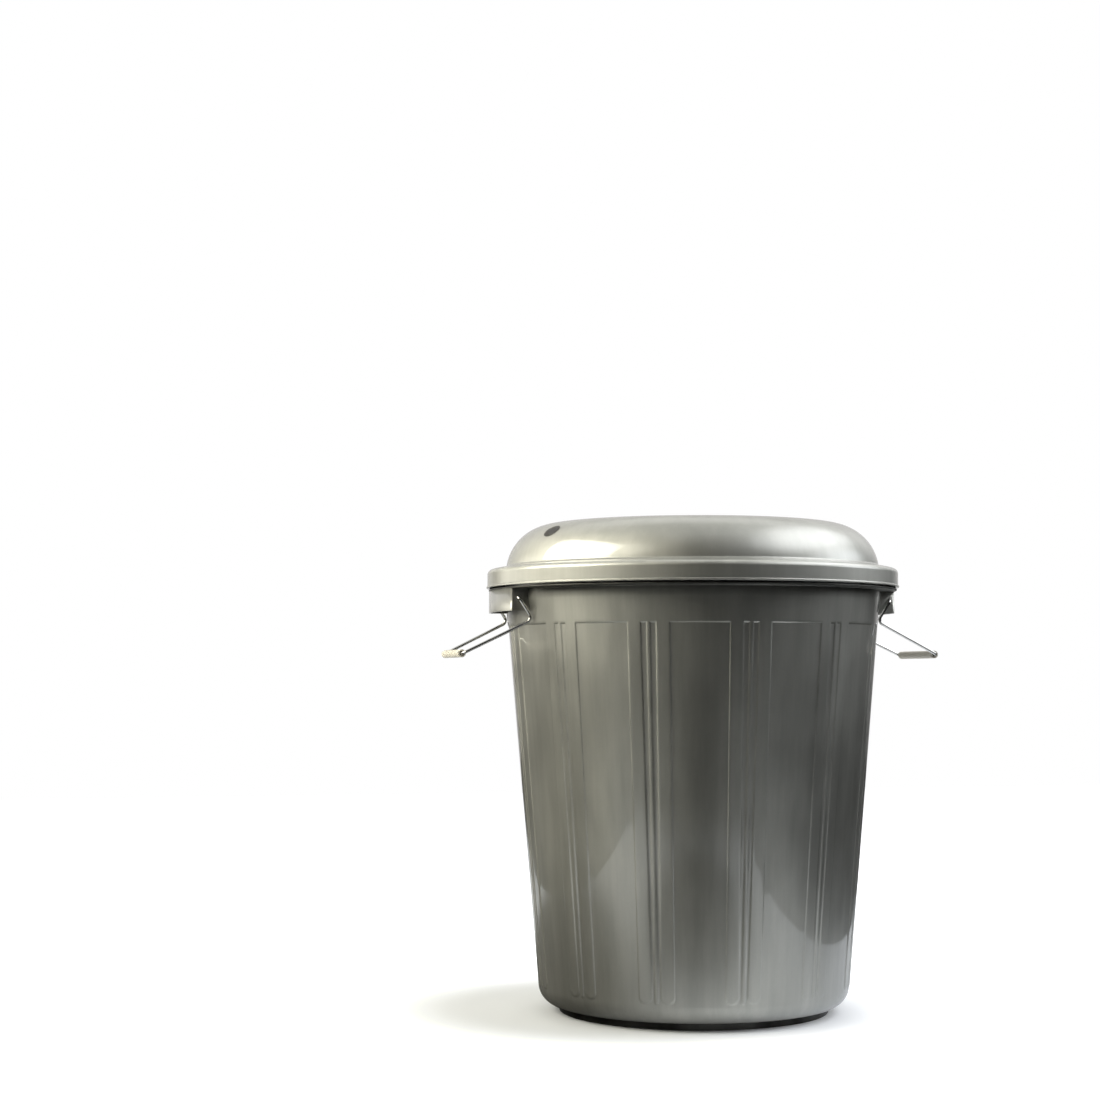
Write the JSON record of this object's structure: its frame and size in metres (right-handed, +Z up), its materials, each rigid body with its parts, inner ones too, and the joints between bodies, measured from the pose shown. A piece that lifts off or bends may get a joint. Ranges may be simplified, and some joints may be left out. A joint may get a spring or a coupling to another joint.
{
  "type": "storage drum",
  "caption": "Tall round storage drum: tapered ribbed plastic pail with a lift-off domed lid and hanging wire bails that carry tube grips.",
  "frame": {"origin": "on the floor at the centre of the foot ring", "axes": "+Z up along the drum's axis, +X towards the right bail, +Y to the back"},
  "size_m": [0.5762, 0.48, 0.5643],
  "materials": {
    "pail_plastic": "semi-gloss pearl grey moulding",
    "lid_plastic": "semi-gloss pearl grey moulding",
    "label": "dark blank film",
    "wire": "bright plated",
    "grip_plastic": "cream, semi-gloss"
  },
  "bodies": {
    "drum": {"drum_body": "pail_plastic"},
    "lid": {"lid": "lid_plastic", "lid_label": "label"},
    "left_handle": {"left_handle_wire": "wire"},
    "right_handle": {"right_handle_wire": "wire"},
    "left_grip": {"left_grip": "grip_plastic"},
    "right_grip": {"right_grip": "grip_plastic"}
  },
  "joints": [
    {"name": "lid_lift", "type": "slide", "parent": "drum", "child": "lid", "axis": [0, 0, 1], "range_m": [0, 0.25]},
    {"name": "right_handle_swing", "type": "hinge", "parent": "drum", "child": "right_handle", "pos_m": [0.22233, 0, 0.4726], "axis": [0, -1, 0], "range_deg": [0, 152]},
    {"name": "left_handle_swing", "type": "hinge", "parent": "drum", "child": "left_handle", "pos_m": [-0.22233, 0, 0.4726], "axis": [0, 1, 0], "range_deg": [0, 152]},
    {"name": "right_grip_spin", "type": "hinge", "parent": "right_handle", "child": "right_grip", "pos_m": [0.28363, 0, 0.4099], "axis": [0, 1, 0], "continuous": true},
    {"name": "left_grip_spin", "type": "hinge", "parent": "left_handle", "child": "left_grip", "pos_m": [-0.28363, 0, 0.4099], "axis": [0, 1, 0], "continuous": true}
  ]
}
